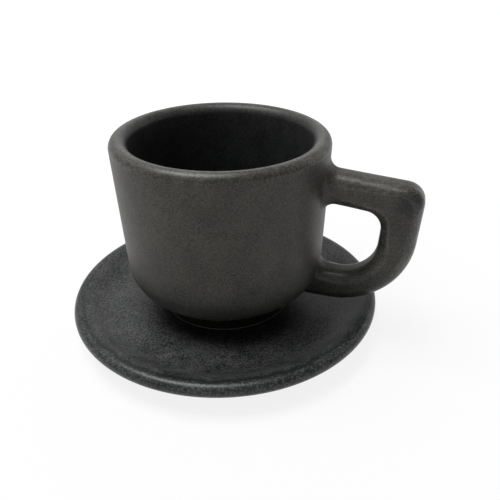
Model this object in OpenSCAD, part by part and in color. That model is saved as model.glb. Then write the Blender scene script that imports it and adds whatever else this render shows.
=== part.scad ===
// Espresso cup with a D handle, standing on its saucer.
// Origin: the saucer's axis at the level of the table. The handle points along +X.

/* [Cup] */
// Height of the cup from its foot to its lip
cup_height = 59.2; // [52:0.2:70]
// Outside width of the cup across its lip
rim_width = 68; // [62:0.5:76]
// Thickness of the wall
wall_thickness = 5.6; // [4.6:0.1:6.2]
// Radius of the lip's outer rounding, the rest of the wall is the inner rounding
lip_outer_radius = 2.6; // [1.8:0.1:3]
// Angle by which the wall leans in towards the bottom
wall_lean = 2.1; // [0:0.1:4]
// Radius of the rounded corner under the wall
corner_radius = 11; // [7:0.5:14]
// Slope of the underside between that corner and the foot
underside_slope = 32; // [24:1:38]
// Thickness of the floor inside the foot
floor_thickness = 4.6; // [3.5:0.1:6]
// Radius of the rounded corner inside, between wall and floor
inside_corner_radius = 9; // [6:0.5:12]

/* [Cup foot] */
// Outside width of the foot where it meets the bowl
foot_top_width = 45.8; // [42:0.2:48]
// Outside width of the foot where it stands
foot_base_width = 45; // [41:0.2:45.6]
// Height of the foot
foot_height = 5.2; // [4:0.1:8]
// Width of the ring that the foot stands on
foot_ring_width = 4; // [3:0.1:6]
// Radius that rounds the foot's standing edges
foot_edge_radius = 0.8; // [0.4:0.1:1.2]

/* [Handle] */
// Depth of the upper bar's top below the lip, at the wall
handle_top_depth = 8; // [6.5:0.5:12]
// Height of the lower bar's underside above the foot, at the wall
handle_bottom_height = 6.6; // [6:0.2:8.2]
// Clear width between the wall and the grip
finger_gap = 17.8; // [16:0.2:24]
// Thickness of the upper bar
upper_bar_thickness = 10.6; // [9:0.2:12]
// Thickness of the grip
grip_thickness = 11.6; // [9:0.2:13]
// Thickness of the lower bar
lower_bar_thickness = 10.4; // [9:0.2:12]
// Width of the handle, seen from its outer end
handle_width = 10; // [9:0.2:13]
// Radius that rounds the handle's long edges
handle_edge_radius = 4; // [2:0.1:4.2]
// Angle by which the upper bar falls outwards
upper_bar_fall = 5.7; // [0:0.1:9]
// Angle by which the lower bar falls outwards
lower_bar_fall = 3.4; // [0:0.1:4]
// Angle by which the grip leans in towards the bottom
grip_lean = 3.2; // [0:0.1:6]
// Radius of the grip's outer corner at the top
outer_top_radius = 5.7; // [3:0.1:8]
// Radius of the grip's outer corner at the bottom
outer_bottom_radius = 25; // [18:0.5:27]
// Radius of the finger gap's corner at the top
gap_top_radius = 6; // [3:0.1:7]
// Radius of the finger gap's corner at the bottom
gap_bottom_radius = 11.5; // [6:0.5:12]
// Radius of the fillet where the handle meets the wall
root_radius = 3.2; // [1.6:0.1:3.6]

/* [Saucer] */
// Outside width of the saucer
saucer_width = 104.8; // [98:0.2:120]
// Height of the well's flat surface above the table
well_height = 7.8; // [7:0.1:9]
// Thickness of the plate under the well
plate_thickness = 4.4; // [3.6:0.1:4.8]
// Radius of the full round lip
saucer_lip_radius = 2.3; // [1.8:0.1:2.8]
// Height of the lip's middle above the well
saucer_lip_rise = 1.2; // [0.8:0.1:1.8]
// Radius of the hollow at the edge of the well
hollow_radius = 14; // [10:0.5:16]
// Radius of the swell that leads from the hollow up to the top of the lip
swell_radius = 8.5; // [6:0.5:10]
// Radius of the flat underside, from where the plate rises to its lip
flat_underside_radius = 37; // [36:0.5:40]
// Outside width of the saucer's foot ring
saucer_foot_width = 66; // [56:1:70]
// Width of the saucer's foot ring
saucer_foot_ring_width = 4; // [3:0.1:6]
// Radius that rounds the saucer foot's standing edges
saucer_foot_edge_radius = 0.8; // [0.4:0.1:1.2]

/* [Hidden] */
$fn = 96;

GLAZE = [0.24, 0.24, 0.23];
SAUCER_GLAZE = [0.22, 0.23, 0.23];
BARE_CLAY = [0.36, 0.33, 0.30];

// Counts of points along the handle's outline and round its section
root_steps = 5;
bar_steps = 3;
corner_steps = 9;
section_corner_steps = 5;
// Depth to which the handle's ends run into the wall before they are cut to it
root_depth = 2.6;
// Depth to which the first curve of each root fillet lies below the wall's surface
root_sink = 0.06;
// Length over which the handle's end changes from the wall's curve to a flat section
root_blend = 9;
// Room left above the lip by a cutter
cut_room = 5;
// Depth to which the straight stretches of a profile run into the arcs that they meet
arc_overlap = 0.005;

// Cup profile, in the half plane of radius and height above the foot
rim_radius = rim_width / 2;
lip_inner_radius = wall_thickness - lip_outer_radius;
lip_centre = [rim_radius - lip_outer_radius, cup_height - lip_outer_radius];
lip_inner_centre = [lip_centre[0], cup_height - lip_inner_radius];
wall_down = [-sin(wall_lean), -cos(wall_lean)];
wall_out = [cos(wall_lean), -sin(wall_lean)];
wall_top = lip_centre + (lip_outer_radius - arc_overlap) * wall_out;
inner_wall_top = lip_inner_centre - (lip_inner_radius - arc_overlap) * wall_out;
foot_top = [foot_top_width / 2, foot_height];
underside_out = [cos(underside_slope), sin(underside_slope)];
corner_point = cross_point(wall_top, wall_down, foot_top, underside_out);
floor_height = foot_height + floor_thickness;
cutter_top = cup_height + cut_room;
inside_corner_point = cross_point(inner_wall_top, wall_down, [0, floor_height], [1, 0]);
corner_half_angle = acos(unit(wall_top - corner_point) * unit(foot_top - corner_point)) / 2;
// The corner's arc ends at the foot's edge at the latest
corner_rounding = min(corner_radius, norm(foot_top - corner_point) * tan(corner_half_angle));
corner_arc = corner_fillet(wall_top, corner_point, foot_top, corner_rounding);
inside_arc = corner_fillet(inner_wall_top, inside_corner_point, [0, floor_height], inside_corner_radius);

// Handle outline, in the plane of reach from the cup's axis and height above the foot
upper_out = [cos(upper_bar_fall), -sin(upper_bar_fall)];
lower_out = [cos(lower_bar_fall), -sin(lower_bar_fall)];
grip_down = [-sin(grip_lean), -cos(grip_lean)];
outer_top_root = [wall_radius(cup_height - handle_top_depth), cup_height - handle_top_depth];
gap_top_height = cup_height - handle_top_depth - upper_bar_thickness;
gap_top_root = [wall_radius(gap_top_height), gap_top_height];
outer_bottom_root = [wall_radius(handle_bottom_height), handle_bottom_height];
gap_bottom_height = handle_bottom_height + lower_bar_thickness;
gap_bottom_root = [wall_radius(gap_bottom_height), gap_bottom_height];
gap_middle = (gap_top_height + gap_bottom_height) / 2;
gap_side = [wall_radius(gap_middle) + finger_gap, gap_middle];
outer_side = gap_side + [grip_thickness, 0];
outer_outline = bar_outline(outer_top_root, outer_side, outer_bottom_root, outer_top_radius,
    outer_bottom_radius, 1);
gap_outline = bar_outline(gap_top_root, gap_side, gap_bottom_root, gap_top_radius, gap_bottom_radius, -1);
ring_count = len(outer_outline);

// Saucer profile, in the half plane of radius and height above the table
saucer_radius = saucer_width / 2;
saucer_lip_centre = [saucer_radius - saucer_lip_radius, well_height + saucer_lip_rise];
saucer_lip_top = saucer_lip_centre[1] + saucer_lip_radius;
swell_centre = [saucer_lip_centre[0], saucer_lip_top - swell_radius - arc_overlap];
hollow_height = well_height + hollow_radius - arc_overlap;
hollow_distance = hollow_radius + swell_radius - arc_overlap;
hollow_reach = sqrt(pow(hollow_distance, 2) - pow(hollow_height - swell_centre[1], 2));
hollow_centre = [swell_centre[0] - hollow_reach, hollow_height];
swell_inset = swell_radius - arc_overlap / 2;
swell_start = swell_centre + swell_inset * unit(hollow_centre - swell_centre);
underside_height = well_height - plate_thickness;
underside_corner = [flat_underside_radius, underside_height];
lip_under = tangent_point(underside_corner, saucer_lip_centre, saucer_lip_radius - arc_overlap);

function unit(v) = v / norm(v);

// Point where two lines cross, each given by a point and a direction
function cross_point(p, d, q, e) =
    p + d * ((q[0] - p[0]) * e[1] - (q[1] - p[1]) * e[0]) / (d[0] * e[1] - d[1] * e[0]);

// Centre and two touching points of the arc that rounds the corner from p over q to s
function corner_fillet(p, q, s, radius) =
    let (a = unit(p - q), b = unit(s - q))
    let (half = acos(a * b) / 2)
    [q + unit(a + b) * radius / sin(half), q + a * radius / tan(half), q + b * radius / tan(half)];

// Touching point of the line from p to the lower side of a circle
function tangent_point(p, centre, radius) =
    let (d = p - centre)
    let (turn = atan2(d[1], d[0]) + acos(radius / norm(d)))
    centre + radius * [cos(turn), sin(turn)];

// Outside radius of the cup at a height above its foot
function wall_radius(z) =
    z > corner_arc[1][1] ? wall_top[0] + (z - wall_top[1]) * tan(wall_lean)
    : z > corner_arc[2][1] ? corner_arc[0][0] + sqrt(pow(corner_rounding, 2) - pow(z - corner_arc[0][1], 2))
    : foot_top[0] + (z - foot_top[1]) / tan(underside_slope);

// Direction of the cup's outside at a height, pointing up
function wall_up(z) =
    let (step = corner_rounding / 100)
    unit([wall_radius(z + step) - wall_radius(z - step), 2 * step]);

// Points of the arc that rounds the corner q between p and s
function arc_points(p, q, s, radius, steps) =
    let (arc = corner_fillet(p, q, s, radius))
    let (from = arc[1] - arc[0], to = arc[2] - arc[0])
    let (start = atan2(from[1], from[0]))
    let (turn = atan2(from[0] * to[1] - from[1] * to[0], from * to))
    [for (i = [0 : steps])
        let (at = start + turn * i / steps)
        arc[0] + radius * [cos(at), sin(at)]];

// Points between two points, without the ends
function between(p, q, steps) = [for (i = [1 : steps - 1]) p + (q - p) * i / steps];

// One side of the handle from its upper root to its lower root
// away is 1 for the outer side and -1 for the finger gap's side
function bar_outline(top_root, side, bottom_root, top_radius, bottom_radius, away) =
    let (top_corner = cross_point(top_root, upper_out, side, grip_down))
    let (bottom_corner = cross_point(bottom_root, lower_out, side, grip_down))
    let (top_wall = top_root + away * root_radius * 2 * wall_up(top_root[1]))
    let (bottom_wall = bottom_root - away * root_radius * 2 * wall_up(bottom_root[1]))
    let (upper = arc_points(top_wall, top_root, top_corner, root_radius, root_steps))
    let (first = arc_points(top_root, top_corner, bottom_corner, top_radius, corner_steps))
    let (second = arc_points(top_corner, bottom_corner, bottom_root, bottom_radius, corner_steps))
    let (lower = arc_points(bottom_corner, bottom_root, bottom_wall, root_radius, root_steps))
    concat(upper, between(upper[root_steps], first[0], bar_steps), first,
        between(first[corner_steps], second[0], bar_steps), second,
        between(second[corner_steps], lower[0], bar_steps), lower);

// How far a ring of the handle is through its nearer root fillet, from 0 at the wall to 1
function root_share(i) = min(1, min(i, ring_count - 1 - i) / root_steps);

// Points of the handle's rounded section, for a half height, a half width and an edge radius
function section(half_height, half_width, edge) =
    [for (corner = [0 : 3])
        for (i = [0 : section_corner_steps])
            let (turn = 90 * (corner + i / section_corner_steps))
            let (side_u = corner == 0 || corner == 3 ? 1 : -1, side_v = corner < 2 ? 1 : -1)
            [side_u * (half_height - edge) + edge * cos(turn),
                side_v * (half_width - edge) + edge * sin(turn)]];

// Ring i of the handle, pushed by depth towards the cup's axis
function handle_ring(i, depth) =
    let (outer = outer_outline[i], inner = gap_outline[i])
    let (middle = (outer + inner) / 2, half = (outer - inner) / 2)
    let (flare = root_radius * (1 - sin(90 * root_share(i))))
    [for (p = section(norm(half), handle_width / 2 + flare, handle_edge_radius + flare))
        let (at = middle + unit(half) * p[0])
        let (radius = wall_radius(at[1]))
        let (bend = max(0, 1 - max(0, at[0] - radius) / root_blend))
        [at[0] - depth - bend * (radius - sqrt(radius * radius - p[1] * p[1])), p[1], at[1]]];

function mean_point(points) =
    let (shares = [for (p = points) 1 / len(points)])
    [for (axis = [0 : 2]) [for (p = points) p[axis]] * shares];

// Right half of a circle, or its left half where side is -1
module half_circle(centre, radius, side) {
    intersection() {
        translate(centre) circle(radius);
        translate(centre + [side > 0 ? 0 : -radius, -radius]) square([radius, 2 * radius]);
    }
}

// Half profile of the cup without its hollow
module bowl_outline() {
    polygon([[0, foot_height], foot_top, corner_arc[2], corner_arc[1], wall_top,
        [lip_centre[0], cup_height], [0, cup_height]]);
    intersection() {
        translate(corner_arc[0]) circle(corner_rounding + arc_overlap);
        polygon([corner_arc[0], foot_top, 2 * corner_point - corner_arc[0], wall_top]);
    }
    half_circle(lip_centre, lip_outer_radius, 1);
}

// Half profile of the hollow inside the cup, open at the top
module hollow_outline() {
    difference() {
        union() {
            polygon([[0, floor_height], inside_arc[2], inside_arc[1], inner_wall_top,
                [lip_centre[0], inner_wall_top[1]], [lip_centre[0], cutter_top], [0, cutter_top]]);
            translate(inside_arc[0]) circle(inside_corner_radius + arc_overlap);
        }
        half_circle(lip_inner_centre, lip_inner_radius, -1);
    }
}

// Half profile of a foot ring that stands at height 0
module ring_outline(base_radius, top_radius, width, height, edge) {
    inner_radius = base_radius - width;
    polygon([[inner_radius + edge, 0], [base_radius - edge, 0], [base_radius, edge], [top_radius, height],
        [inner_radius, height], [inner_radius, edge]]);
    half_circle([base_radius - edge, edge], edge, 1);
    half_circle([inner_radius + edge, edge], edge, -1);
}

module saucer_plate() {
    color(SAUCER_GLAZE)
        rotate_extrude()
            difference() {
                union() {
                    polygon([[0, underside_height], underside_corner, lip_under, saucer_lip_centre,
                        swell_start, [hollow_centre[0], well_height], [0, well_height]]);
                    translate(saucer_lip_centre) circle(saucer_lip_radius);
                    intersection() {
                        translate(swell_centre) circle(swell_radius);
                        polygon([saucer_lip_centre, [saucer_lip_centre[0], saucer_lip_top + cut_room],
                            [swell_start[0], saucer_lip_top + cut_room], swell_start]);
                    }
                }
                translate(hollow_centre) circle(hollow_radius);
            }
}

module saucer_foot_ring() {
    base_radius = saucer_foot_width / 2;
    color(BARE_CLAY)
        rotate_extrude()
            ring_outline(base_radius, base_radius, saucer_foot_ring_width, underside_height,
                saucer_foot_edge_radius);
}

module cup_foot_ring() {
    color(BARE_CLAY)
        translate([0, 0, well_height])
            rotate_extrude()
                ring_outline(foot_base_width / 2, foot_top[0], foot_ring_width, foot_height,
                    foot_edge_radius);
}

module cup_bowl() {
    color(GLAZE)
        translate([0, 0, well_height])
            rotate_extrude()
                difference() {
                    bowl_outline();
                    hollow_outline();
                }
}

// The handle before its ends are cut to the wall
module handle_sweep() {
    rings = concat([handle_ring(0, root_depth)],
        [for (i = [0 : ring_count - 1]) handle_ring(i, root_sink * pow(1 - root_share(i), 2))],
        [handle_ring(ring_count - 1, root_depth)]);
    sides = len(rings[0]);
    last = len(rings) - 1;
    points = concat([for (ring = rings) each ring], [mean_point(rings[0]), mean_point(rings[last])]);
    first_cap = len(points) - 2;
    last_cap = len(points) - 1;
    faces = concat(
        [for (i = [0 : last - 1]) for (j = [0 : sides - 1])
            [i * sides + j, (i + 1) * sides + j, (i + 1) * sides + (j + 1) % sides]],
        [for (i = [0 : last - 1]) for (j = [0 : sides - 1])
            [i * sides + j, (i + 1) * sides + (j + 1) % sides, i * sides + (j + 1) % sides]],
        [for (j = [0 : sides - 1]) [first_cap, j, (j + 1) % sides]],
        [for (j = [0 : sides - 1]) [last_cap, last * sides + (j + 1) % sides, last * sides + j]]);
    polyhedron(points, faces);
}

module cup_handle() {
    color(GLAZE)
        translate([0, 0, well_height])
            difference() {
                handle_sweep();
                rotate_extrude() bowl_outline();
            }
}

saucer_plate();
saucer_foot_ring();
cup_foot_ring();
cup_bowl();
cup_handle();
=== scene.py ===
"""Espresso cup with its saucer: the glazed and bare clay pieces, the studio and the camera.

Everything is in metres in the part's own frame: the saucer's axis is Z, the table is at height 0
and the handle points along +X.
"""

import logging
import math
from dataclasses import dataclass, field
from enum import Enum
from typing import Any, Optional, Union

import bpy
import numpy as np
from mathutils import Matrix, Vector

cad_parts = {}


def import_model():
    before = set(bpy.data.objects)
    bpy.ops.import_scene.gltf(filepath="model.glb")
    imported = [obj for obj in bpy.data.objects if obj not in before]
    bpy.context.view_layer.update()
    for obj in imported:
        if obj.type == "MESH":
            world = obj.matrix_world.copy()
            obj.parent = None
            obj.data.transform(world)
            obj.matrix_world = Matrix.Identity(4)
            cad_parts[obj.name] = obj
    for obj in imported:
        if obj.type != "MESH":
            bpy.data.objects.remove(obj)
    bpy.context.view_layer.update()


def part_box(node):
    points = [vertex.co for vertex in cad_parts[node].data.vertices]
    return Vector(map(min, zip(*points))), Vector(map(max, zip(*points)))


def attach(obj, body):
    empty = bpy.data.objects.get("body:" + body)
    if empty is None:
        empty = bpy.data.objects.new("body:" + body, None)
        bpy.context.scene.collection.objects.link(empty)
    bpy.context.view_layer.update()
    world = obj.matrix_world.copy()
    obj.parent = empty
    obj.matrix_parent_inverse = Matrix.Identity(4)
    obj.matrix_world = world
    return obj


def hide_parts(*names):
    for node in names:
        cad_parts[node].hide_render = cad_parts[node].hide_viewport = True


Array = np.ndarray
Socket = bpy.types.NodeSocket
Sockets = bpy.types.bpy_prop_collection
Node = bpy.types.Node
Tree = bpy.types.NodeTree
Material = bpy.types.Material
Piece = bpy.types.Object
Feed = Union[float, tuple, Socket]
Feeds = dict[Union[str, int], Feed]

LOG = logging.getLogger("espresso_cup")
EDGE_ATTRIBUTE = "edge_bend"
PAINTED_SHADE_ATTRIBUTE = "painted_shade_share"
BAND_ATTRIBUTE = "dotted_band"
IMAGE_SIDE = 500
SAME_POINT = 1e-7
TINY = 1e-12
NODE_STEP = 180
NOISE_MIDDLE = 0.5
MIX_LOW, MIX_HIGH, MIX_RESULT = 6, 7, 2


class Body(Enum):
    """Bodies of the frame that the pieces ride on."""

    SAUCER = "saucer"
    CUP_FOOT = "cup_foot"
    CUP = "cup"


class Slot(Enum):
    """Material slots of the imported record."""

    CUP_GLAZE = "cup_glaze"
    SAUCER_GLAZE = "saucer_glaze"
    BARE_CLAY = "bare_clay"


def arc(centre: Array, radius: float, start: float, stop: float, count: int) -> Array:
    """Points of an arc: centre + radius * (cos t, sin t), with t in even steps of degrees."""
    turn = np.radians(np.linspace(start, stop, count))
    return np.asarray(centre) + radius * np.stack([np.cos(turn), np.sin(turn)], axis=-1)


def straight(start: Array, stop: Array, count: int) -> Array:
    """Evenly spaced points from start to stop, both ends included."""
    return np.linspace(np.asarray(start, float), np.asarray(stop, float), count)


def unit(vector: Array) -> Array:
    """The vector at length 1."""
    return np.asarray(vector, float) / np.linalg.norm(vector)


def slope_down(angle: float) -> Array:
    """Direction that runs outwards and falls by an angle in degrees."""
    return np.array([math.cos(math.radians(angle)), -math.sin(math.radians(angle))])


def cross_point(p: Array, d: Array, q: Array, e: Array) -> Array:
    """Point where the line through p along d meets the line through q along e."""
    gap = np.asarray(q, float) - p
    return p + np.asarray(d) * (gap[0] * e[1] - gap[1] * e[0]) / (d[0] * e[1] - d[1] * e[0])


def rounded(before: Array, corner: Array, after: Array, radius: float, count: int) -> Array:
    """Arc that rounds a corner: its centre lies on the corner's bisector, radius / sin(half) away.

    Args:
        before: Point on the line that comes to the corner.
        corner: The sharp corner.
        after: Point on the line that leaves it.
        radius: Radius of the rounding.
        count: Number of points, both touching points included.

    Returns:
        Array of count points, from the first touching point to the last.
    """
    a, b = unit(before - corner), unit(after - corner)
    half = math.acos(float(a @ b)) / 2
    centre = corner + unit(a + b) * radius / math.sin(half)
    first = corner + a * radius / math.tan(half) - centre
    last = corner + b * radius / math.tan(half) - centre
    start = math.atan2(first[1], first[0])
    turn = math.atan2(first[0] * last[1] - first[1] * last[0], float(first @ last))
    return arc(centre, radius, math.degrees(start), math.degrees(start + turn), count)


def joined(*runs: Array) -> Array:
    """The runs of points as one run, with repeated points dropped.

    Args:
        runs: Arrays of points, each starting where the last one ends.

    Returns:
        One array of points.
    """
    points = np.concatenate(runs)
    step = np.linalg.norm(np.diff(points, axis=0), axis=1)
    return points[np.concatenate([[True], step > SAME_POINT])]


def eased(share: Array) -> Array:
    """Share kept between 0 and 1 and eased at both ends: s * s * (3 - 2 s)."""
    share = np.clip(share, 0, 1)
    return share**2 * (3 - 2 * share)


@dataclass
class Surface:
    """A closed skin: points, faces, fans that close its ends, and marks for bulge, painted shade and dots.
    """

    points: Array
    quads: Array
    fans: Array
    bend: Array
    # Share of painted shade at each point.
    dark: Array
    band: Array

    @classmethod
    def from_grid(cls, grid: Array, ends: Optional[Array] = None) -> "Surface":
        """Skin over a grid of points whose columns close on themselves.

        Args:
            grid: Points as rows x columns x 3.
            ends: Two points that close the first and the last row, or None where the rows
                close on themselves too.

        Returns:
            The skin, with its faces pointing outwards.
        """
        rows, columns = grid.shape[:2]
        index = np.arange(rows * columns).reshape(rows, columns)
        beside = np.roll(index, -1, axis=1)
        low, low_beside = (index, beside) if ends is None else (index[:-1], beside[:-1])
        high, high_beside = np.roll(index, -1, axis=0), np.roll(beside, -1, axis=0)
        high, high_beside = high[: len(low)], high_beside[: len(low)]
        quads = np.stack([low, low_beside, high_beside, high], axis=-1).reshape(-1, 4)
        points = grid.reshape(-1, 3)
        fans = np.zeros((0, 3), int)
        if ends is not None:
            first, last = len(points), len(points) + 1
            fans = np.concatenate([
                np.stack([beside[0], index[0], np.full(columns, first)], axis=-1),
                np.stack([index[-1], beside[-1], np.full(columns, last)], axis=-1),
            ])
            points = np.concatenate([points, ends])
        skin = cls(points, quads, fans, *np.zeros((3, len(points))))
        outward = skin.turn_outwards()
        bend = outward * mean_bend(grid, ends is None)
        close = [] if ends is None else [bend[0].mean(), bend[-1].mean()]
        skin.bend = np.concatenate([bend.ravel(), close])
        return skin

    def turn_outwards(self) -> float:
        """Turns all faces over if the volume that they enclose is negative.

        Returns:
            1 where the faces were right, and -1 where they were turned over.
        """
        corner, side, across, other = (self.points[self.quads[:, i]] for i in range(4))
        halves = np.cross(side, across) + np.cross(across, other)
        volume = float((corner * halves).sum())
        volume += float((self.points[self.fans[:, 0]] * np.cross(
            self.points[self.fans[:, 1]], self.points[self.fans[:, 2]])).sum())
        if volume < 0:
            self.quads, self.fans = self.quads[:, ::-1], self.fans[:, ::-1]
            return -1.0
        return 1.0


def mean_bend(grid: Array, rows_close: bool) -> Array:
    """Mean curvature of a grid surface, from its first and second differences.

    With E, F, G the products of the first differences and L, M, N the second differences along
    the normal, it is (E N - 2 F M + G L) / (2 (E G - F F)), positive where the surface bulges
    towards the side that columns x rows point to.

    Args:
        grid: Points as rows x columns x 3, columns closed on themselves.
        rows_close: Whether the rows close on themselves too.

    Returns:
        Curvature in 1/m at each grid point.
    """
    wide = np.pad(grid, ((1, 1), (0, 0), (0, 0)), mode="wrap")
    if not rows_close:
        wide[0], wide[-1] = 2 * grid[0] - grid[1], 2 * grid[-1] - grid[-2]
    wide = np.pad(wide, ((0, 0), (1, 1), (0, 0)), mode="wrap")
    along = (wide[2:, 1:-1] - wide[:-2, 1:-1]) / 2
    round_ = (wide[1:-1, 2:] - wide[1:-1, :-2]) / 2
    along2 = wide[2:, 1:-1] - 2 * grid + wide[:-2, 1:-1]
    round2 = wide[1:-1, 2:] - 2 * grid + wide[1:-1, :-2]
    mixed = (wide[2:, 2:] - wide[2:, :-2] - wide[:-2, 2:] + wide[:-2, :-2]) / 4
    normal = np.cross(round_, along)
    normal /= np.maximum(np.linalg.norm(normal, axis=-1, keepdims=True), TINY)
    e, f, g = ((a * b).sum(-1) for a, b in ((along, along), (along, round_), (round_, round_)))
    l, m, n = ((a * normal).sum(-1) for a in (along2, mixed, round2))
    area = np.maximum(e * g - f * f, TINY**2)
    return -(e * n - 2 * f * m + g * l) / (2 * area)


def revolved(profile: Array, sectors: int, ring: bool = False) -> Surface:
    """Profile turned about the Z axis: a point at radius r and height z goes to (r cos t, r sin t, z).

    Args:
        profile: Points as radius and height. Both ends lie on the axis, unless it is a ring.
        sectors: Number of steps in the full turn.
        ring: Whether the profile closes on itself and stays clear of the axis.

    Returns:
        The closed skin.
    """
    turn = np.linspace(0, 2 * np.pi, sectors, endpoint=False)
    rows = profile if ring else profile[1:-1]
    height = np.repeat(rows[:, 1:], sectors, axis=1)
    across, along = np.outer(rows[:, 0], np.cos(turn)), np.outer(rows[:, 0], np.sin(turn))
    grid = np.stack([across, along, height], axis=-1)
    if ring:
        return Surface.from_grid(grid)
    ends = np.array([[0, 0, profile[0, 1]], [0, 0, profile[-1, 1]]])
    return Surface.from_grid(grid, ends)


def make_piece(
    name: str, skin: Surface, material: Material, body: Body, node: str
) -> Piece:
    """Puts a skin into the scene as the piece that stands for a CAD node.

    Args:
        name: Name of the piece.
        skin: Its closed skin.
        material: Its finish.
        body: Body that it rides on.
        node: CAD node that it stands for.

    Returns:
        The new object.
    """
    mesh = bpy.data.meshes.new(name)
    mesh.from_pydata(skin.points.tolist(), [], skin.quads.tolist() + skin.fans.tolist())
    mesh.polygons.foreach_set("use_smooth", np.ones(len(mesh.polygons), bool))
    marks = (EDGE_ATTRIBUTE, skin.bend), (PAINTED_SHADE_ATTRIBUTE, skin.dark), (BAND_ATTRIBUTE, skin.band)
    for key, values in marks:
        layer = mesh.attributes.new(key, "FLOAT", "POINT")
        layer.data.foreach_set("value", values.astype(np.float32))
    mesh.materials.append(material)
    mesh.update()
    piece = bpy.data.objects.new(name, mesh)
    bpy.context.scene.collection.objects.link(piece)
    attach(piece, body.value)
    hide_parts(node)
    LOG.info("%s: %d points, %d faces, on %s", name, len(mesh.vertices), len(mesh.polygons), body.value)
    return piece


class Nodes:
    """Adds nodes to one shader tree and links them."""

    def __init__(self, tree: Tree) -> None:
        """Starts with an empty tree."""
        self.tree = tree
        tree.nodes.clear()

    def add(self, kind: str, feeds: Optional[Feeds] = None, **settings: Any) -> Node:
        """One node of a kind, with its settings and what goes into it.

        Args:
            kind: Blender's name of the node type.
            feeds: Sockets to link or values to set at its inputs, by name or number.
            settings: Properties to set on it.

        Returns:
            The node.
        """
        node = self.tree.nodes.new(kind)
        node.location = (NODE_STEP * len(self.tree.nodes), 0)
        for key, value in settings.items():
            setattr(node, key, value)
        for key, value in (feeds or {}).items():
            if isinstance(value, Socket):
                self.tree.links.new(value, node.inputs[key])
            else:
                node.inputs[key].default_value = value
        return node

    def math(self, operation: str, first: Feed, second: Feed) -> Socket:
        """One arithmetic step with two numbers."""
        return self.add("ShaderNodeMath", {0: first, 1: second}, operation=operation).outputs[0]

    def between(self, share: Socket, low: float, high: float) -> Socket:
        """Number at a share of the way from low to high: share * (high - low) + low."""
        return self.math("ADD", self.math("MULTIPLY", share, high - low), low)

    def remap(self, value: Socket, low: Feed, high: Feed) -> Socket:
        """Value taken from the range low to high onto 0 to 1, eased at both ends."""
        feeds = {"Value": value, "From Min": low, "From Max": high}
        return self.add("ShaderNodeMapRange", feeds, interpolation_type="SMOOTHSTEP").outputs["Result"]

    def noise(self, place: Socket, scale: Feed, detail: float = 2.0, rough: float = 0.5) -> Socket:
        """Cloudy noise from 0 to 1, with its scale in features per metre."""
        feeds = {"Vector": place, "Scale": scale, "Detail": detail, "Roughness": rough}
        return self.add("ShaderNodeTexNoise", feeds).outputs["Fac"]

    def swing(
        self, place: Socket, scale: float, span: float, detail: float = 2.0, rough: float = 0.5
    ) -> Socket:
        """Cloudy noise that swings about 0: noise less its middle, times the span."""
        level = self.math("SUBTRACT", self.noise(place, scale, detail, rough), NOISE_MIDDLE)
        return self.math("MULTIPLY", level, span)

    def blend(self, share: Socket, low: Feed, high: Feed, kind: str = "MIX") -> Socket:
        """Two colours blended by a share, 0 for the first and 1 for the second."""
        feeds = {"Factor": share, MIX_LOW: low, MIX_HIGH: high}
        return self.add("ShaderNodeMix", feeds, data_type="RGBA", blend_type=kind).outputs[MIX_RESULT]

    def mark(self, name: str) -> Socket:
        """A mark that the piece carries at its points."""
        return self.add("ShaderNodeAttribute", attribute_name=name).outputs["Fac"]

    def group(self, tree: Tree, place: Socket, **values: Feed) -> Socket:
        """The output of a shared group, whose number inputs are named with underscores for spaces."""
        feeds = {key.replace("_", " ").title(): value for key, value in values.items()}
        return self.add("ShaderNodeGroup", {"Place": place, **feeds}, node_tree=tree).outputs[0]


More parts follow.
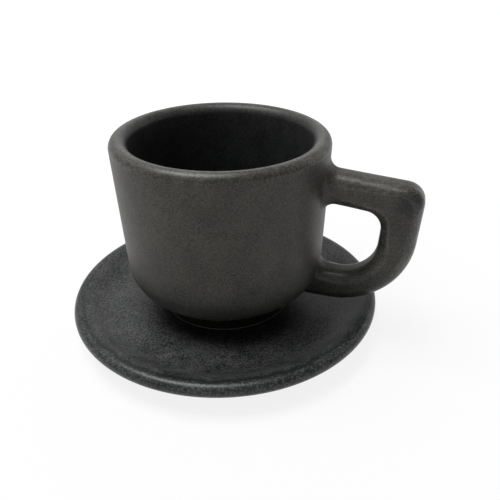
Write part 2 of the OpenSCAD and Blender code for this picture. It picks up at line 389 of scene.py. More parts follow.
@dataclass
class SharedEffects:
    """Node groups that more than one finish uses, each built once."""

    cloud_scale: float = 110.0
    cloud_low: float = 0.3
    cloud_high: float = 0.7
    cloud_share: float = 0.3
    dot_soft: float = 0.1
    crowd_scale: float = 260.0
    crowd_swing: float = 0.35
    edge_start: float = 50.0
    edge_full: float = 165.0
    edge_swing: float = 99.0
    edge_scale: float = 420.0
    wave: float = 0.00004
    wave_scale: float = 130.0
    pinhole: float = 0.00004
    pinhole_scale: float = 160.0
    pinhole_share: float = 0.12
    pinhole_edge: float = 0.07
    pinhole_floor: float = 0.02
    grain: Tree = field(init=False)
    stipple: Tree = field(init=False)
    edge: Tree = field(init=False)
    relief: Tree = field(init=False)

    def __post_init__(self) -> None:
        """Builds every group."""
        self.grain = self._grain()
        self.stipple = self._stipple()
        self.edge = self._edge()
        self.relief = self._relief()

    @staticmethod
    def _begin(name: str, output: str, inputs: dict[str, float]) -> tuple[Nodes, Sockets]:
        """Starts a group that takes coordinates and numbers.

        Args:
            name: Name of the group.
            output: Name of its value output.
            inputs: Names of its number inputs, with their usual values.

        Returns:
            The group's nodes, and the sockets of its inputs by name.
        """
        tree = bpy.data.node_groups.new(name, "ShaderNodeTree")
        tree.interface.new_socket("Place", in_out="INPUT", socket_type="NodeSocketVector")
        for key, value in inputs.items():
            socket = tree.interface.new_socket(key, in_out="INPUT", socket_type="NodeSocketFloat")
            socket.default_value = value
        tree.interface.new_socket(output, in_out="OUTPUT", socket_type="NodeSocketFloat")
        nodes = Nodes(tree)
        return nodes, nodes.add("NodeGroupInput").outputs

    def _grain(self) -> Tree:
        """Fine crystal grain of the glaze over wide soft clouds.

        Returns:
            Group with the output Tone, 0 for dark ground and 1 for light grain.
        """
        nodes, given = self._begin("glaze_grain", "Tone", {"Grain Scale": 1500.0, "Soft": 0.16})
        low = nodes.math("SUBTRACT", NOISE_MIDDLE, given["Soft"])
        high = nodes.math("ADD", NOISE_MIDDLE, given["Soft"])
        crystals = nodes.noise(given["Place"], given["Grain Scale"], detail=2.0, rough=0.62)
        clouds = nodes.noise(given["Place"], self.cloud_scale, detail=4.0, rough=0.55)
        fine = nodes.math("MULTIPLY", nodes.remap(crystals, low, high), 1 - self.cloud_share)
        wide = nodes.remap(clouds, self.cloud_low, self.cloud_high)
        wide = nodes.math("MULTIPLY", wide, self.cloud_share)
        nodes.add("NodeGroupOutput", {"Tone": nodes.math("ADD", fine, wide)})
        return nodes.tree

    def _stipple(self) -> Tree:
        """Small dark dots, crowded in some places and scattered in others.

        Returns:
            Group with the output Dots, 1 inside a dot.
        """
        nodes, given = self._begin("glaze_stipple", "Dots", {"Scale": 1150.0, "Cover": 0.5})
        dots = nodes.noise(given["Place"], given["Scale"], detail=1.5, rough=0.55)
        crowd = nodes.swing(given["Place"], self.crowd_scale, self.crowd_swing)
        low = nodes.math("SUBTRACT", 1.0, given["Cover"])
        high = nodes.math("ADD", low, self.dot_soft)
        nodes.add("NodeGroupOutput", {"Dots": nodes.remap(nodes.math("ADD", dots, crowd), low, high)})
        return nodes.tree

    def _edge(self) -> Tree:
        """Thin glaze on the bulging edges, with a ragged border.

        Returns:
            Group with the output Thin, 1 on an edge.
        """
        nodes, given = self._begin("edge_thinning", "Thin", {})
        ragged = nodes.swing(given["Place"], self.edge_scale, self.edge_swing, detail=4.0, rough=0.65)
        bend = nodes.math("ADD", nodes.mark(EDGE_ATTRIBUTE), ragged)
        nodes.add("NodeGroupOutput", {"Thin": nodes.remap(bend, self.edge_start, self.edge_full)})
        return nodes.tree

    def _relief(self) -> Tree:
        """Height of the fired surface: slow waves, fine tooth and a few pinholes.

        Returns:
            Group with the output Height in metres.
        """
        nodes, given = self._begin("fired_relief", "Height", {"Tooth": 0.00002, "Tooth Scale": 1100.0})
        wave = nodes.math("MULTIPLY", nodes.noise(given["Place"], self.wave_scale), self.wave)
        tooth = nodes.noise(given["Place"], given["Tooth Scale"], detail=3.0, rough=0.6)
        tooth = nodes.math("MULTIPLY", tooth, given["Tooth"])
        cell = nodes.add("ShaderNodeTexVoronoi", {"Vector": given["Place"], "Scale": self.pinhole_scale})
        chance = nodes.add("ShaderNodeSeparateColor", {0: cell.outputs["Color"]}).outputs[0]
        rare = nodes.math("LESS_THAN", chance, self.pinhole_share)
        dip = nodes.remap(cell.outputs["Distance"], self.pinhole_edge, self.pinhole_floor)
        hole = nodes.math("MULTIPLY", nodes.math("MULTIPLY", dip, rare), self.pinhole)
        height = nodes.math("SUBTRACT", nodes.math("ADD", wave, tooth), hole)
        nodes.add("NodeGroupOutput", {"Height": height})
        return nodes.tree


def begin_material(name: str) -> tuple[Material, Nodes]:
    """Starts a material.

    Args:
        name: Its name.

    Returns:
        The material and its nodes, still empty.
    """
    material = bpy.data.materials.new(name)
    material.use_nodes = True
    return material, Nodes(material.node_tree)


def end_material(nodes: Nodes, height: Socket, feeds: Feeds) -> None:
    """Ends a material with a shader over its relief.

    Args:
        nodes: The material's nodes.
        height: Height of the relief in metres.
        feeds: What goes into the shader, by the names of its inputs.
    """
    bump = nodes.add("ShaderNodeBump", {"Strength": 1.0, "Distance": 1.0, "Height": height})
    shader = nodes.add("ShaderNodeBsdfPrincipled", {"Normal": bump.outputs["Normal"], **feeds})
    nodes.add("ShaderNodeOutputMaterial", {"Surface": shader.outputs["BSDF"]})


@dataclass(frozen=True)
class GlazeFinish:
    """Satin charcoal glaze: light grain on a dark ground, dark dots, glossy edges and painted shade where
    marked.
    """

    name: str = "cup_glaze_charcoal"
    ground: tuple = (0.0215, 0.0205, 0.0175)
    grain: tuple = (0.110, 0.1055, 0.091)
    edge: tuple = (0.011, 0.012, 0.013)
    # Tint that multiplies the colour where shade is painted.
    dark: tuple = (0.37, 0.40, 0.47)
    grain_scale: float = 2300.0
    grain_soft: float = 0.15
    dot_scale: float = 1400.0
    dots: float = 0.35
    edge_dots: float = 0.7
    edge_crowd: float = 0.6
    cover: float = 0.46
    edge_cover: float = 0.56
    rough: float = 0.46
    edge_rough: float = 0.42
    rough_swing: float = 0.05
    gloss: float = 0.3
    coat: float = 0.16
    coat_rough: float = 0.22
    dot_veil: float = 0.45

    def build(self, effects: SharedEffects) -> Material:
        """Makes the material.

        Args:
            effects: The shared node groups.

        Returns:
            The finished material.
        """
        material, nodes = begin_material(self.name)
        place = nodes.add("ShaderNodeTexCoord").outputs["Object"]
        tone = nodes.group(effects.grain, place, grain_scale=self.grain_scale, soft=self.grain_soft)
        thin = nodes.group(effects.edge, place)
        crowd = nodes.math("MULTIPLY", thin, self.edge_crowd)
        crowd = nodes.math("MAXIMUM", nodes.mark(BAND_ATTRIBUTE), crowd)
        cover = nodes.between(crowd, self.cover, self.edge_cover)
        dots = nodes.group(effects.stipple, place, scale=self.dot_scale, cover=cover)
        colour = nodes.blend(tone, (*self.ground, 1), (*self.grain, 1))
        share = nodes.math("MULTIPLY", dots, nodes.between(crowd, self.dots, self.edge_dots))
        colour = nodes.blend(share, colour, (*self.edge, 1))
        # Painted shade: the colour is darkened by the tint where the piece marks it, and its glossy edges
        # are thinned there.
        painted_shade = nodes.mark(PAINTED_SHADE_ATTRIBUTE)
        colour = nodes.blend(painted_shade, colour, (*self.dark, 1), "MULTIPLY")
        thin = nodes.math("MULTIPLY", thin, nodes.math("SUBTRACT", 1.0, painted_shade))
        rough = nodes.between(tone, self.rough - self.rough_swing, self.rough + self.rough_swing)
        smoother = nodes.math("MULTIPLY", thin, self.rough - self.edge_rough)
        clear = nodes.between(dots, 1.0, 1 - self.dot_veil)
        coat = nodes.math("MULTIPLY", nodes.math("MULTIPLY", thin, clear), self.coat)
        end_material(nodes, nodes.group(effects.relief, place), {
            "Base Color": colour,
            "Roughness": nodes.math("SUBTRACT", rough, smoother),
            "Specular IOR Level": self.gloss,
            "Coat Weight": coat,
            "Coat Roughness": self.coat_rough,
        })
        return material


@dataclass(frozen=True)
class FootFinish:
    """Foot ring: glazed side, a thin pale line painted as a glint where the glaze ends, and bare clay
    below.
    """

    name: str
    glaze: tuple
    pale: tuple
    glint_line_height: float
    clay: tuple = (0.060, 0.052, 0.044)
    grit: tuple = (0.13, 0.115, 0.098)
    grain_scale: float = 1100.0
    dot_cover: float = 0.45
    dot_share: float = 0.5
    ragged_scale: float = 500.0
    ragged: float = 0.0003
    glint_line_low: float = 0.0005
    glint_line_high: float = 0.0002
    glaze_blur: float = 0.0002
    clay_rough: float = 0.85
    glaze_rough: float = 0.5
    tooth: float = 0.00003
    tooth_scale: float = 1500.0
    gloss: float = 0.1

    def build(self, effects: SharedEffects) -> Material:
        """Makes the material.

        Args:
            effects: The shared node groups.

        Returns:
            The finished material.
        """
        material, nodes = begin_material(self.name)
        place = nodes.add("ShaderNodeTexCoord").outputs["Object"]
        tone = nodes.group(effects.grain, place, grain_scale=self.grain_scale)
        dots = nodes.group(effects.stipple, place, cover=self.dot_cover)
        clay = nodes.blend(tone, (*self.clay, 1), (*self.grit, 1))
        clay = nodes.blend(nodes.math("MULTIPLY", dots, self.dot_share), clay, (*self.pale, 1))
        height = nodes.add("ShaderNodeSeparateXYZ", {0: place}).outputs["Z"]
        ragged = nodes.swing(place, self.ragged_scale, self.ragged, detail=3.0)
        height = nodes.math("ADD", height, ragged)
        glazed = nodes.remap(height, self.glint_line_height, self.glint_line_height + self.glaze_blur)
        # Painted glint: a thin pale line just under where the glaze ends.
        line = nodes.remap(height, self.glint_line_height - self.glint_line_low, self.glint_line_height - self.glint_line_high)
        colour = nodes.blend(line, clay, (*self.pale, 1))
        glaze = nodes.blend(tone, (*self.glaze, 1), (*self.clay, 1))
        relief = nodes.group(effects.relief, place, tooth=self.tooth, tooth_scale=self.tooth_scale)
        end_material(nodes, relief, {
            "Base Color": nodes.blend(glazed, colour, glaze),
            "Roughness": nodes.between(glazed, self.clay_rough, self.glaze_rough),
            "Specular IOR Level": self.gloss,
        })
        return material


@dataclass
class Bowl:
    """The cup's wall, floor and lip, thrown as one piece."""

    rim_radius: float
    stand: float
    height: float
    wall: float = 0.0056
    lip_outer: float = 0.0026
    lean: float = 2.1
    corner: float = 0.011
    slope: float = 32.0
    floor: float = 0.0046
    inside_corner: float = 0.009
    foot_radius: float = 0.0229
    foot_height: float = 0.0052
    # These six shape the painted shade: inside, deepening from the lip into the cup; outside, towards the
    # foot.
    inside_start: float = 0.0026
    inside_reach: float = 0.012
    inside_first: float = 0.72
    painted_shade_start: float = 0.010
    painted_shade_fade: float = 0.016
    painted_shade_share: float = 0.75
    under_count: int = 8
    slope_count: int = 4
    corner_count: int = 28
    wall_count: int = 24
    lip_count: int = 22
    lip_inner_count: int = 14
    inside_count: int = 20
    inside_corner_count: int = 24
    floor_count: int = 10
    sectors: int = 288
    lip_centre: Array = field(init=False)
    wall_top: Array = field(init=False)
    foot_edge: Array = field(init=False)
    corner_arc: Array = field(init=False)

    def __post_init__(self) -> None:
        """Works out the outside line: lip circle, leaning wall, rounded corner and sloping underside."""
        self.lip_centre = np.array([self.rim_radius - self.lip_outer, self.height - self.lip_outer])
        self.wall_top = self.lip_centre + self.lip_outer * slope_down(self.lean)
        self.foot_edge = np.array([self.foot_radius, self.foot_height])
        slope = slope_down(-self.slope)
        corner_point = cross_point(self.wall_top, self.wall_down(), self.foot_edge, slope)
        self.corner_arc = rounded(
            self.foot_edge, corner_point, self.wall_top, self.corner, self.corner_count)

    def wall_down(self) -> Array:
        """Direction down the leaning wall."""
        return np.array([-math.sin(math.radians(self.lean)), -math.cos(math.radians(self.lean))])

    def outside(self, height: Array) -> Array:
        """Outside radius of the cup at heights above its foot, read off its outside line."""
        line = np.concatenate([[self.foot_edge], self.corner_arc, [self.wall_top]])
        return np.interp(height, line[:, 1], line[:, 0])

    def profile(self) -> Array:
        """Half section from the axis under the floor, out, over the lip and back to the axis.

        Returns:
            Points as radius and height above the table.
        """
        lip_inner = self.wall - self.lip_outer
        inner_centre = np.array([self.lip_centre[0], self.height - lip_inner])
        inner_top = inner_centre - lip_inner * slope_down(self.lean)
        floor = np.array([0.0, self.foot_height + self.floor])
        inside_point = cross_point(inner_top, self.wall_down(), floor, np.array([1.0, 0.0]))
        inside_arc = rounded(
            inner_top, inside_point, floor, self.inside_corner, self.inside_corner_count)
        line = joined(
            straight([0, self.foot_height], self.foot_edge, self.under_count),
            straight(self.foot_edge, self.corner_arc[0], self.slope_count),
            self.corner_arc,
            straight(self.corner_arc[-1], self.wall_top, self.wall_count),
            arc(self.lip_centre, self.lip_outer, -self.lean, 90, self.lip_count),
            arc(inner_centre, lip_inner, 90, 180 - self.lean, self.lip_inner_count),
            straight(inner_top, inside_arc[0], self.inside_count),
            inside_arc,
            straight(inside_arc[-1], floor, self.floor_count),
        )
        return line + [0, self.stand]

    def build(self, glaze: Material) -> Piece:
        """Makes the glazed bowl and marks where shade is painted into its glaze.

        Inside, the painted shade is an eased step over the lip's inner half plus a slow straight rise
        below it.
        Outside, it is an eased step down from above the rounded corner to painted shade near the foot.

        Args:
            glaze: Its finish.

        Returns:
            The bowl.
        """
        line = self.profile()
        skin = revolved(line, self.sectors)
        # Painted shade, deepening from the lip into the cup inside and growing towards the foot outside.
        length = np.concatenate([[0], np.cumsum(np.linalg.norm(np.diff(line, axis=0), axis=1))])
        past = length - length[line[:, 1].argmax()]
        rise = np.clip(past / self.inside_reach, 0, 1)
        inside = self.inside_first * eased(past / self.inside_start) + (1 - self.inside_first) * rise
        top = self.corner_arc[-1, 1] + self.stand + self.painted_shade_start
        outside = self.painted_shade_share * eased((top - line[:, 1]) / self.painted_shade_fade)
        share = np.where(past < 0, outside, inside)
        skin.dark = np.concatenate([np.repeat(share[1:-1], self.sectors), share[[0, -1]]])
        return make_piece("cup_bowl_glazed", skin, glaze, Body.CUP, "cup_bowl")


@dataclass
class Handle:
    """The D handle: a rounded section carried from its upper root to its lower root."""

    bowl: Bowl
    top_depth: float = 0.008
    bottom_height: float = 0.0066
    finger_gap: float = 0.0178
    upper_bar: float = 0.0106
    grip: float = 0.01158
    lower_bar: float = 0.0104
    width: float = 0.010
    edge: float = 0.004
    upper_fall: float = 5.7
    lower_fall: float = 3.4
    grip_lean: float = 3.2
    outer_top_radius: float = 0.0057
    outer_bottom_radius: float = 0.025
    gap_top_radius: float = 0.006
    gap_bottom_radius: float = 0.0115
    root: float = 0.0032
    root_blend: float = 0.009
    root_sink: float = 0.00006
    slope_step: float = 0.0001
    root_count: int = 14
    bar_count: int = 16
    corner_count: int = 30
    side_count: int = 12
    quarter_count: int = 12
    patch: float = 0.004
    patch_strength: float = 0.75
    # These three shape painted shade on the lower bar, which also dulls its gloss there.
    painted_shade_top: float = 0.031
    painted_shade_fade: float = 0.009
    painted_shade_share: float = 0.6

    def wall_point(self, height: float) -> Array:
        """Point on the cup's outside at a height above its foot."""
        return np.array([float(self.bowl.outside(np.array(height))), height])

    def outline(self, top: float, side: Array, bottom: float, radii: tuple, away: float) -> Array:
        """One side of the D: root fillet, bar, corner, grip, corner, bar and root fillet.

        Args:
            top: Height where the upper bar's line meets the wall.
            side: Point on the grip's line.
            bottom: Height where the lower bar's line meets the wall.
            radii: Radii of the upper and the lower corner.
            away: 1 for the outer side, and -1 for the finger gap's side.

        Returns:
            Points as reach from the axis and height above the foot.
        """
        lean = math.radians(self.grip_lean)
        down = np.array([-math.sin(lean), -math.cos(lean)])
        roots = self.wall_point(top), self.wall_point(bottom)
        corners = (
            cross_point(roots[0], slope_down(self.upper_fall), side, down),
            cross_point(roots[1], slope_down(self.lower_fall), side, down),
        )
        step = self.slope_step
        ups = [unit(self.wall_point(h + step) - self.wall_point(h - step)) for h in (top, bottom)]
        walls = roots[0] + away * 2 * self.root * ups[0], roots[1] - away * 2 * self.root * ups[1]
        runs = [
            rounded(walls[0], roots[0], corners[0], self.root, self.root_count),
            rounded(roots[0], corners[0], corners[1], radii[0], self.corner_count),
            rounded(corners[0], corners[1], roots[1], radii[1], self.corner_count),
            rounded(corners[1], roots[1], walls[1], self.root, self.root_count),
        ]
        counts = self.bar_count, self.side_count, self.bar_count
        bars = [straight(runs[i][-1], runs[i + 1][0], counts[i] + 2)[1:-1] for i in range(3)]
        return np.concatenate([runs[0], bars[0], runs[1], bars[1], runs[2], bars[2], runs[3]])

    def grid(self) -> Array:
        """Rings of the handle.

        Each ring is a rounded rectangle between the outer and the gap outline. Near the wall it
        widens by root * (1 - sin) as a fillet does, and bends to the cup's round.

        Returns:
            Points as rings x section x 3.
        """
        top = self.bowl.height - self.top_depth
        gap_top, gap_bottom = top - self.upper_bar, self.bottom_height + self.lower_bar
        middle = (gap_top + gap_bottom) / 2
        gap_side = self.wall_point(middle) + [self.finger_gap, 0]
        outer = self.outline(top, gap_side + [self.grip, 0], self.bottom_height,
                             (self.outer_top_radius, self.outer_bottom_radius), 1)
        inner = self.outline(gap_top, gap_side, gap_bottom,
                             (self.gap_top_radius, self.gap_bottom_radius), -1)
        order = np.arange(len(outer))
        share = np.minimum(1, np.minimum(order, order[::-1]) / (self.root_count - 1))
        flare = self.root * (1 - np.sin(np.pi / 2 * share))
        centre, half = (outer + inner) / 2, (outer - inner) / 2
        half_height = np.linalg.norm(half, axis=1)
        across = half / half_height[:, None]
        edge = (self.edge + flare)[:, None]
        quarter = np.linspace(0, np.pi / 2, self.quarter_count)
        turn = np.concatenate([quarter + i * np.pi / 2 for i in range(4)])
        side_u = np.repeat([1, -1, -1, 1], self.quarter_count)
        side_v = np.repeat([1, 1, -1, -1], self.quarter_count)
        u = side_u * (half_height[:, None] - edge) + edge * np.cos(turn)
        v = side_v * ((self.width / 2 + flare)[:, None] - edge) + edge * np.sin(turn)
        at = centre[:, None] + across[:, None] * u[..., None]
        wall = self.bowl.outside(at[..., 1])
        bend = np.clip(1 - np.maximum(0, at[..., 0] - wall) / self.root_blend, 0, 1)
        sink = self.root_sink * (1 - share[:, None]) ** 2
        reach = at[..., 0] - sink - bend * (wall - np.sqrt(wall**2 - v**2))
        return np.stack([reach, v, at[..., 1] + self.bowl.stand], axis=-1)

    def build(self, glaze: Material) -> Piece:
        """Makes the glazed handle, with its ends closed inside the wall.

        A patch of dark dots is marked as a bell curve of distance from the front edge of the outer top
        corner, and painted shade on the lower bar as an eased step of height.

        Args:
            glaze: Its finish.

        Returns:
            The handle.
        """
        grid = self.grid()
        ends = np.stack([grid[0].mean(0), grid[-1].mean(0)]) - [self.bowl.wall / 2, 0, 0]
        skin = Surface.from_grid(grid, ends)
        corner = grid[self.root_count + self.bar_count + self.corner_count // 2, -self.quarter_count]
        away = np.linalg.norm(skin.points - corner, axis=1)
        skin.band = self.patch_strength * np.exp(-((away / self.patch) ** 2))
        # Painted shade, growing towards the lower bar.
        skin.dark = self.painted_shade_share * eased((self.painted_shade_top - skin.points[:, 2]) / self.painted_shade_fade)
        return make_piece("cup_handle_glazed", skin, glaze, Body.CUP, "cup_handle")


@dataclass
class FootRing:
    """A turned ring that stands on rounded edges."""

    name: str
    node: str
    body: Body
    base_radius: float
    top_radius: float
    stand: float
    height: float
    width: float = 0.004
    edge: float = 0.0008
    face_count: int = 6
    edge_count: int = 9
    side_count: int = 8
    top_count: int = 5
    sectors: int = 224

    def profile(self) -> Array:
        """Closed half section: standing face, outer edge, side, top, inner side and inner edge.

        Returns:
            Points as radius and height above the table.
        """
        inner = self.base_radius - self.width
        line = joined(
            straight([inner + self.edge, 0], [self.base_radius - self.edge, 0], self.face_count),
            arc([self.base_radius - self.edge, self.edge], self.edge, -90, 0, self.edge_count),
            straight([self.base_radius, self.edge], [self.top_radius, self.height], self.side_count),
            straight([self.top_radius, self.height], [inner, self.height], self.top_count),
            straight([inner, self.height], [inner, self.edge], self.face_count),
            arc([inner + self.edge, self.edge], self.edge, 180, 270, self.edge_count),
        )
        return line[:-1] + [0, self.stand]

    def build(self, finish: Material) -> Piece:
        """Makes the ring."""
        skin = revolved(self.profile(), self.sectors, ring=True)
        return make_piece(self.name, skin, finish, self.body, self.node)


@dataclass
class Saucer:
    """The saucer's glazed plate with its rounded lip."""

    radius: float
    well: float
    underside: float
    lip: float = 0.0023
    lip_rise: float = 0.0012
    swell: float = 0.0085
    hollow: float = 0.014
    flat_underside: float = 0.037
    band_inset: float = 0.0031
    band_width: float = 0.0009
    band_wobble: float = 0.0005
    band_least: float = 0.3
    painted_reflection_front: float = -85.0
    band_waves: tuple = ((13, 0.0), (23, 1.3), (41, 0.7))
    under_count: int = 12
    lip_count: int = 40
    swell_count: int = 20
    hollow_count: int = 16
    well_count: int = 24
    sectors: int = 320

    def profile(self) -> Array:
        """Half section from the axis under the plate, out, round the lip and down to the well.

        The top falls from the lip's crest on a bulging arc, the swell, and a hollow arc that ends level.

        Returns:
            Points as radius and height above the table.
        """
        lip_centre = np.array([self.radius - self.lip, self.well + self.lip_rise])
        swell_centre = np.array([lip_centre[0], lip_centre[1] + self.lip - self.swell])
        both = self.hollow + self.swell
        rise = self.well + self.hollow - swell_centre[1]
        reach = math.sqrt(both**2 - rise**2)
        hollow_centre = np.array([lip_centre[0] - reach, self.well + self.hollow])
        slope = math.degrees(math.asin(reach / both))
        flat_end = np.array([self.flat_underside, self.underside])
        away = flat_end - lip_centre
        touch = math.degrees(math.atan2(away[1], away[0]) + math.acos(self.lip / np.linalg.norm(away)))
        lip_line = arc(lip_centre, self.lip, touch, 90, self.lip_count)
        return joined(
            straight([0, self.underside], flat_end, self.under_count),
            straight(flat_end, lip_line[0], self.under_count),
            lip_line,
            arc(swell_centre, self.swell, 90, 90 + slope, self.swell_count),
            arc(hollow_centre, self.hollow, slope - 90, -90, self.hollow_count),
            straight([hollow_centre[0], self.well], [0, self.well], self.well_count),
        )

    def build(self, glaze: Material) -> Piece:
        """Makes the glazed plate, with a band of dark dots marked just inside the crest.

        The band is a bell curve of radius, made uneven by sines of the turn. Its dots stand for thin
        glaze;
        its strength fades as a cosine does from the front, where it paints a dark reflection of the cup,
        to the back.

        Args:
            glaze: Its finish.

        Returns:
            The plate.
        """
        skin = revolved(self.profile(), self.sectors)
        radius = np.hypot(skin.points[:, 0], skin.points[:, 1])
        turn = np.arctan2(skin.points[:, 1], skin.points[:, 0])
        wobble = np.mean([np.sin(count * turn + start) for count, start in self.band_waves], axis=0)
        away = radius - (self.radius - self.band_inset) - self.band_wobble * wobble
        # Painted dark reflection of the cup: the band is strongest at the front and fades to the back.
        painted_reflection_fade = (1 + np.cos(turn - math.radians(self.painted_reflection_front))) / 2
        strength = self.band_least + (1 - self.band_least) * painted_reflection_fade**2
        top = skin.points[:, 2] > self.well
        skin.band = top * strength * np.exp(-((away / self.band_width) ** 2))
        return make_piece(
            "saucer_plate_glazed", skin, glaze, Body.SAUCER, "saucer_plate")


@dataclass(frozen=True)
class Softbox:
    """One square studio lamp that looks at the cup."""

    name: str
    azimuth: float
    elevation: float
    distance: float
    side: float
    watts: float

    def build(self, aim: Vector) -> Piece:
        """Hangs the lamp.

        Args:
            aim: Point that it looks at.

        Returns:
            The lamp.
        """
        lamp = bpy.data.lights.new(self.name, "AREA")
        lamp.shape, lamp.size, lamp.energy = "SQUARE", self.side, self.watts
        holder = bpy.data.objects.new(self.name, lamp)
        turn, rise = math.radians(self.azimuth), math.radians(self.elevation)
        flat = math.cos(rise)
        back = Vector((math.sin(turn) * flat, -math.cos(turn) * flat, math.sin(rise)))
        holder.location = aim + back * self.distance
        holder.rotation_mode = "QUATERNION"
        holder.rotation_quaternion = (-back).to_track_quat("-Z", "Y")
        holder.visible_camera = False
        bpy.context.scene.collection.objects.link(holder)
        return holder


@dataclass
class Studio:
    """White floor, white surroundings and soft lamps."""

    floor_half: float = 3.0
    floor_height: float = -0.00005
    floor_paint: float = 0.85
    floor_gloss: float = 1.0
    dome: float = 0.02
    room_gloss: tuple = (0.7, 0.18)
    room_right: tuple = (0.972, 0.235, 0.0)
    shadow_depth: float = 0.14
    shadow_reach: tuple = (0.06, 0.30)
    aim: tuple = (0.0, 0.0, 0.03)
    lamps: tuple = (
        Softbox("softbox_above", 280.0, 74.0, 0.6, 0.36, 3.25),
        Softbox("softbox_front", 0.0, 75.0, 0.6, 0.28, 0.4),
        Softbox("softbox_left", 280.0, 57.0, 0.6, 0.4, 0.25),
        Softbox("softbox_low_left", 200.0, 22.0, 0.6, 0.4, 0.28),
        Softbox("softbox_low_back", 165.0, 22.0, 0.6, 0.4, 0.14),
        Softbox("softbox_low_right", 130.0, 22.0, 0.6, 0.4, 0.4),
    )

    @staticmethod
    def seen(nodes: Nodes, gloss: Feed) -> Socket:
        """1 for what the camera sees directly or through glass, and a share for what it sees in a gloss.

        Args:
            nodes: Nodes of the floor's or the surroundings' tree.
            gloss: Share for what is seen in a gloss.

        Returns:
            The share's socket.
        """
        path = nodes.add("ShaderNodeLightPath").outputs
        direct = nodes.math("MAXIMUM", path["Is Camera Ray"], path["Is Transmission Ray"])
        return nodes.math("MAXIMUM", direct, nodes.math("MULTIPLY", path["Is Glossy Ray"], gloss))

    def build_floor(self) -> Piece:
        """Lays the white floor, which keeps a soft shadow near the saucer.

        Returns:
            The floor.
        """
        half = self.floor_half
        corners = np.array([[-half, -half], [half, -half], [half, half], [-half, half]])
        points = np.column_stack([corners, np.full(4, self.floor_height)])
        mesh = bpy.data.meshes.new("floor")
        mesh.from_pydata(points.tolist(), [], [[0, 1, 2, 3]])
        material, nodes = begin_material("white_floor")
        paint = nodes.add("ShaderNodeBsdfDiffuse", {"Color": (self.floor_paint,) * 3 + (1,)})
        veil = nodes.add("ShaderNodeBsdfDiffuse", {"Color": (self.shadow_depth,) * 3 + (1,)})
        place = nodes.add("ShaderNodeTexCoord").outputs["Object"]
        length = nodes.add("ShaderNodeVectorMath", {0: place}, operation="LENGTH")
        away = nodes.remap(length.outputs["Value"], *self.shadow_reach)
        level = nodes.between(away, 1 - self.shadow_depth, 1.0)
        glow = nodes.add("ShaderNodeEmission", {"Strength": level})
        bright = nodes.add("ShaderNodeAddShader", {0: veil.outputs[0], 1: glow.outputs[0]})
        seen = self.seen(nodes, self.floor_gloss)
        choice = nodes.add("ShaderNodeMixShader", {0: seen, 1: paint.outputs[0], 2: bright.outputs[0]})
        nodes.add("ShaderNodeOutputMaterial", {"Surface": choice.outputs[0]})
        mesh.materials.append(material)
        floor = bpy.data.objects.new("floor", mesh)
        bpy.context.scene.collection.objects.link(floor)
        return floor

    def build_world(self) -> None:
        """Makes the surroundings: white where seen, dim as a light, and darker to the right in a gloss."""
        world = bpy.data.worlds.new("white_room")
        world.use_nodes = True
        nodes = Nodes(world.node_tree)
        way = nodes.add("ShaderNodeTexCoord").outputs["Generated"]
        across = nodes.add("ShaderNodeVectorMath", {0: way, 1: self.room_right}, operation="DOT_PRODUCT")
        left, right = self.room_gloss
        gloss = nodes.between(across.outputs["Value"], (left + right) / 2, right)
        strength = nodes.between(self.seen(nodes, gloss), self.dome, 1.0)
        room = nodes.add("ShaderNodeBackground", {"Color": (1, 1, 1, 1), "Strength": strength})
        nodes.add("ShaderNodeOutputWorld", {"Surface": room.outputs[0]})
        bpy.context.scene.world = world

    def build(self) -> None:
        """Sets up floor, surroundings, lamps and the plain view."""
        self.build_floor()
        self.build_world()
        for lamp in self.lamps:
            lamp.build(Vector(self.aim))
        bpy.context.scene.view_settings.view_transform = "Standard"


@dataclass
class PhotoCamera:
    """Camera at the photograph's place."""

    azimuth: float = 13.6127
    elevation: float = 30.7138
    distance: float = 0.1930115
    roll: float = 0.6669
    target_right: float = 0.0169504
    target_height: float = 0.0252276
    focal_pixels: float = 561.5
    axis_pixel: float = 275.4705
    sensor: float = 36.0
    near: float = 0.01
    far: float = 20.0

    def build(self) -> Piece:
        """Places the camera on a circle round the axis, looking down at its target.

        Returns:
            The camera.
        """
        lens = bpy.data.cameras.new("photo_camera")
        lens.sensor_width = self.sensor
        lens.lens = self.focal_pixels / IMAGE_SIDE * self.sensor
        lens.shift_x = (IMAGE_SIDE / 2 - self.axis_pixel) / IMAGE_SIDE
        lens.clip_start, lens.clip_end = self.near, self.far
        camera = bpy.data.objects.new("photo_camera", lens)
        rise = math.radians(self.elevation)
        back = Vector((0, -math.cos(rise), math.sin(rise)))
        place = Vector((self.target_right, 0, self.target_height)) + back * self.distance
        level = Matrix.Rotation(math.radians(self.azimuth), 4, "Z")
        tilt = Matrix.Rotation(math.pi / 2 - rise, 4, "X")
        roll = Matrix.Rotation(math.radians(self.roll), 4, "Z")
        camera.matrix_world = level @ Matrix.Translation(place) @ tilt @ roll
        bpy.context.scene.collection.objects.link(camera)
        bpy.context.scene.camera = camera
        return camera


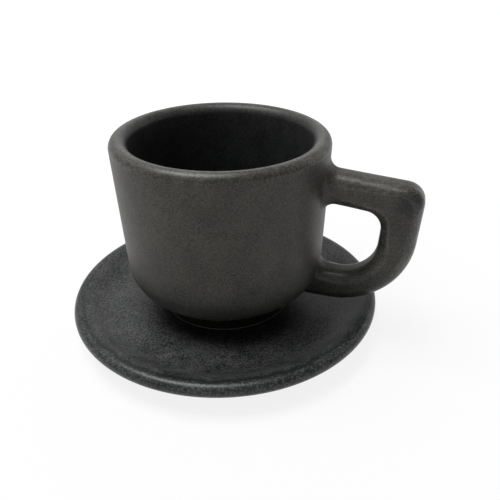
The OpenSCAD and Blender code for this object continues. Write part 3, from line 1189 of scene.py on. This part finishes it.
CUP_FOOT_BASE_RADIUS = 0.0225
CUP_GLAZE = GlazeFinish()
HANDLE_GLAZE = GlazeFinish(
    name="handle_glaze_charcoal",
    edge=(0.006, 0.0072, 0.0105),
    edge_dots=0.9,
    edge_crowd=0.2,
    edge_cover=0.9,
    edge_rough=0.37,
    coat=0.65,
    coat_rough=0.25,
)
SAUCER_GLAZE = GlazeFinish(
    name="saucer_glaze_charcoal",
    ground=(0.0040, 0.0056, 0.0060),
    grain=(0.086, 0.0885, 0.084),
    edge=(0.004, 0.006, 0.008),
    grain_scale=1700.0,
    grain_soft=0.06,
    dot_scale=1250.0,
    dots=0.46,
    edge_dots=0.92,
    edge_crowd=0.28,
    edge_cover=0.76,
    rough=0.45,
    edge_rough=0.36,
    coat=0.11,
    coat_rough=0.27,
)
CUP_FOOT_FINISH = FootFinish(
    name="cup_foot_bare_clay",
    # Near-black glaze: painted shade on the foot's side under the cup.
    glaze=(0.002, 0.002, 0.002),
    # Pale grit, and the colour of the painted glint line.
    pale=(0.48, 0.46, 0.42),
    glint_line_height=0.0085,
)
SAUCER_FOOT_FINISH = FootFinish(
    name="saucer_foot_bare_clay",
    glaze=(0.005, 0.005, 0.005),
    pale=(0.26, 0.245, 0.22),
    glint_line_height=0.0012,
)


def main() -> None:
    """Loads the frame, builds every piece in order, then the studio and the camera."""
    logging.basicConfig(level=logging.INFO, format="%(name)s %(message)s")
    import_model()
    plate_low, plate_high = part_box("saucer_plate")
    foot_low, foot_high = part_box("cup_foot_ring")
    bowl_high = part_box("cup_bowl")[1]
    saucer_foot_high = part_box("saucer_foot_ring")[1]

    effects = SharedEffects()
    cup_glaze = CUP_GLAZE.build(effects)
    saucer_glaze = SAUCER_GLAZE.build(effects)
    bowl = Bowl(rim_radius=bowl_high.x, stand=foot_low.z, height=bowl_high.z - foot_low.z)
    saucer_radius = min(plate_high.x, plate_high.y, -plate_low.x, -plate_low.y)
    Saucer(radius=saucer_radius, well=foot_low.z, underside=plate_low.z).build(saucer_glaze)
    FootRing(
        name="saucer_foot_bare", node="saucer_foot_ring", body=Body.SAUCER,
        base_radius=saucer_foot_high.x, top_radius=saucer_foot_high.x,
        stand=0.0, height=saucer_foot_high.z,
    ).build(SAUCER_FOOT_FINISH.build(effects))
    FootRing(
        name="cup_foot_bare", node="cup_foot_ring", body=Body.CUP_FOOT,
        base_radius=CUP_FOOT_BASE_RADIUS, top_radius=foot_high.x,
        stand=foot_low.z, height=foot_high.z - foot_low.z,
    ).build(CUP_FOOT_FINISH.build(effects))
    bowl.build(cup_glaze)
    Handle(bowl).build(HANDLE_GLAZE.build(effects))
    Studio().build()
    PhotoCamera().build()


if __name__ == "__main__":
    main()
